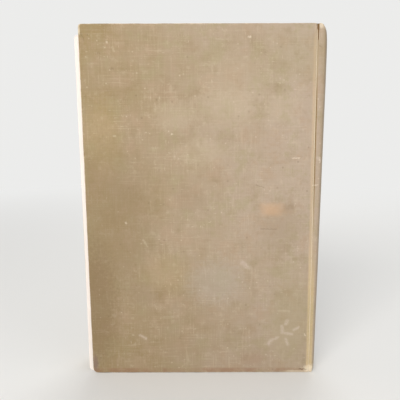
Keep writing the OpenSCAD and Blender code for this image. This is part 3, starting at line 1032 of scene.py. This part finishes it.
def leafLine(level, share, start):  # level -1 to 1 through the block; share 0 at the fore-edge, 1 at the back
    y = sideY * level
    backY = shoulderY * level
    rise = caseCloth["spineRound"]
    backRadius = (shoulderY ** 2 + rise ** 2) / (2 * rise)
    backX = leafHigh.x - backRadius + math.sqrt(backRadius ** 2 - backY ** 2)
    bendX = shoulderX - mixed(leaves["bendLength"], leaves["outerBend"], level ** 2)
    straight = leaves["straight"]
    if share < straight:
        return Vector((mixed(start, bendX, share / straight), y, 0))
    t = (share - straight) / (1 - straight)
    a, b, c = (Vector(p) for p in ((bendX, y, 0), (mixed(bendX, backX, 0.6), y, 0), (backX, backY, 0)))
    return a * (1 - t) ** 2 + b * 2 * t * (1 - t) + c * t ** 2


def cornerInset(distance, radius):  # how far a rounded corner has cut in, at a distance from its end
    if distance >= radius:
        return 0
    return radius - math.sqrt(radius ** 2 - (radius - distance) ** 2)


def buildLeaves():
    random.seed(leaves["seed"])
    height = leafHigh.z
    rows = [s / height for s in leaves["rowsFromEnd"]]
    rows += [1 - r for r in reversed(rows)]
    straight, steps = leaves["straight"], leaves["bendSteps"]
    shares = [0, 0.01] + [mixed(straight, 1, k / steps) for k in range(steps + 1)]
    hollow = leaves["foreHollow"]
    foreRadius = (sideY ** 2 + hollow ** 2) / (2 * hollow)
    bm = bmesh.new()
    sheet = bm.verts.layers.float.new("sheet")
    for k in range(leaves["sheets"]):
        level = 2 * (k + 0.5) / leaves["sheets"] - 1
        curve = hollow - foreRadius + math.sqrt(foreRadius ** 2 - (sideY * level) ** 2)
        start = leafLow.x + curve + random.random() * leaves["stagger"]
        top = height - random.random() * leaves["headStagger"]
        foot = random.random() * leaves["headStagger"] * 0.5
        for v, column, row in gridOf(bm, len(shares) - 1, len(rows) - 1):
            z = mixed(foot, top, rows[row])
            inset = cornerInset(min(z - foot, top - z), leaves["cornerRadius"])
            point = leafLine(level, shares[column], start + inset)
            v.co = Vector((point.x, point.y, z))
            v[sheet] = k
    each = 2 * sideY / leaves["sheets"] * leaves["fill"]
    bmesh.ops.solidify(bm, geom=bm.faces, thickness=each)
    shift = -each / 2 if max(v.co.y for v in bm.verts) > shoulderY else 0
    bmesh.ops.translate(bm, verts=bm.verts, vec=(0, shift, 0))
    piece = finishMesh("leaves", bm, leafEdges)
    keepInHeight(piece.data)
    piece.data.shade_flat()
    return piece


leafBlock = buildLeaves()
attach(leafBlock, "block")
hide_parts("text_block")
print("leaves built")


# Free endpapers, and the fold of each in its joint

flyleaf = {
    "thickness": 0.16 * mm,
    "bendRadius": 0.8 * mm,
    "shoulderEnd": 0.5 * mm,
    "cockle": 0.28 * mm,
    "foreReach": 9 * mm,
    "bulge": 0.45 * mm,
    "bulgeZ": 95 * mm,
    "bulgeHeight": 55 * mm,
    "cornerReach": 12 * mm,
    "rowCells": (0.4 * mm, 5 * mm),
    "columnCells": (0.6 * mm, 8 * mm),
    "bendSteps": 5,
}


def buildFlyleaf(name, side):
    height = flyHigh.z
    radius, half = flyleaf["bendRadius"], flyleaf["thickness"] / 2
    rows = gradedBothEnds(height, *flyleaf["rowCells"])
    steps = gradedSteps(shoulderX - flyLow.x - radius, *flyleaf["columnCells"])
    turns = [k / flyleaf["bendSteps"] for k in range(1, flyleaf["bendSteps"] + 1)]
    climb = shoulderY - flyleaf["shoulderEnd"] - sideY - radius
    count = len(steps) + len(turns) + 1
    bm = bmesh.new()
    for v, column, row in gridOf(bm, count - 1, len(rows) - 1):
        z = rows[row]
        y = sideY + half
        if column < len(steps):
            step = steps[column]
            inset = cornerInset(min(z, height - z), leaves["cornerRadius"])
            x = flyLow.x + step + inset * (1 - eased(0, flyleaf["cornerReach"], step))
            free = 1 - eased(0, flyleaf["foreReach"], step)
            wave = noise.noise(Vector((x * 20, side * 3.1, z * 55)))
            y += flyleaf["cockle"] * free * (0.45 + wave)
            above = (z - flyleaf["bulgeZ"]) / flyleaf["bulgeHeight"]
            x += free * flyleaf["bulge"] * math.exp(-above ** 2)
        elif column < count - 1:
            angle = turns[column - len(steps)] * math.pi / 2
            x = shoulderX - radius + (radius - half) * math.sin(angle)
            y = sideY + radius - (radius - half) * math.cos(angle)
        else:
            x = shoulderX - half
            y = sideY + radius + climb
        v.co = Vector((x, side * y, z))
    return finishMesh(name, bm, flyleafPaper)


paperFold = {
    "start": 4 * mm,
    "end": 232 * mm,
    "top": 14.74 * mm,
    "low": 13.2 * mm,
    "lip": 0.42 * mm,
    "boardGap": 1.1 * mm,
    "bend": 0.35 * mm,
    "thickness": 0.14 * mm,
    "shoulderGap": 0.02 * mm,
    "rows": 60,
    "bendSteps": 4,
    "flatSteps": 6,
    "blend": (0.3 * mm, 0.6 * mm),
}


def buildPaperFold(name, side):  # the endpaper where it crosses the joint, between shoulder and board
    rows, bend = paperFold["rows"], paperFold["bendSteps"]
    count = 2 * bend + 2 + paperFold["flatSteps"]
    radius = paperFold["bend"]
    right = shoulderX - flyleaf["thickness"] - paperFold["shoulderGap"]
    bm = bmesh.new()
    for v, column, row in gridOf(bm, count, rows):
        z = mixed(paperFold["start"], paperFold["end"], row / rows)
        left = creaseX(z) - paperFold["boardGap"] + paperFold["lip"]
        step = min(column, count - column)
        end, inward = (right, -1) if column < count / 2 else (left, 1)
        angle = (step - 1) / bend * math.pi / 2
        if step == 0:
            x, y = end, paperFold["low"]
        elif step <= bend:
            x = end + inward * radius * (1 - math.cos(angle))
            y = paperFold["top"] - radius * (1 - math.sin(angle))
        else:
            x = mixed(right - radius, left + radius, (column - bend - 1) / (count - 2 * bend - 2))
            y = paperFold["top"]
        v.co = Vector((x, side * y, z))
    return finishMesh(name, bm, endpaper)


for side, word in ((-1, "back"), (1, "front")):
    leaf = buildFlyleaf(word + "_free_endpaper", side)
    thicken(leaf, flyleaf["thickness"], 0)
    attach(leaf, "block")
    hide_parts(word + "_flyleaf")
    fold = buildPaperFold(word + "_endpaper_fold", side)
    thicken(fold, paperFold["thickness"], 0)
    blendAcrossJoint(fold, side, *paperFold["blend"])
print("endpapers built")


# Finishes of the construction pieces that show as they are

cadFinish = {
    "mull": gauze, "back_mull_flange": gauze, "front_mull_flange": gauze,
    "spine_lining": kraftPaper, "back_board": millboard, "front_board": millboard,
    "back_pastedown": endpaper, "front_pastedown": endpaper,
}
for name, material in cadFinish.items():
    nodes[name].data.materials.clear()
    nodes[name].data.materials.append(material)


# Floor and surroundings: the floor fades into the pale background before its end shows

def buildFloor():
    bm = bmesh.new()
    bmesh.ops.create_grid(bm, x_segments=1, y_segments=1, size=6)
    mesh = bpy.data.meshes.new("floor")
    bm.to_mesh(mesh)
    bm.free()
    floor = placed("floor", mesh)
    floor.location.z = -0.05 * mm
    material, tree, place = startMaterial("paleFloor", 0.8, 0.2)
    shader = tree.nodes["Principled BSDF"]
    shader.inputs["Base Color"].default_value = surroundings["floor"]
    away = vectorCalc(tree, "LENGTH", place)["Value"]
    far = ramp(tree, away, surroundings["fadeStart"] / mm, surroundings["fadeEnd"] / mm)
    seen = addNode(tree, "ShaderNodeLightPath").outputs["Is Camera Ray"]
    glow = addNode(tree, "ShaderNodeEmission", {"Color": surroundings["seen"], "Strength": 1})
    chosen = addNode(
        tree, "ShaderNodeMixShader", {0: times(tree, far, seen), 1: shader.outputs[0], 2: glow.outputs[0]}
    )
    tree.links.new(chosen.outputs[0], tree.nodes["Material Output"].inputs["Surface"])
    mesh.materials.append(material)


def buildWorld():
    world = bpy.data.worlds.new("studio")
    bpy.context.scene.world = world
    world.use_nodes = True
    tree = world.node_tree
    tree.nodes.clear()
    rays = addNode(tree, "ShaderNodeLightPath").outputs
    seen = chain(tree, "MAXIMUM", *(rays[f"Is {kind} Ray"] for kind in ("Camera", "Glossy", "Transmission")))
    light = addNode(
        tree, "ShaderNodeBackground", {"Color": surroundings["light"], "Strength": surroundings["strength"]}
    )
    view = addNode(tree, "ShaderNodeBackground", {"Color": surroundings["seen"], "Strength": 1})
    chosen = addNode(tree, "ShaderNodeMixShader", {0: seen, 1: light.outputs[0], 2: view.outputs[0]})
    addNode(tree, "ShaderNodeOutputWorld", {"Surface": chosen.outputs[0]})


placeCamera()
placeLamps()
buildFloor()
buildWorld()
bpy.context.scene.view_settings.view_transform = "Standard"
print("stage built")
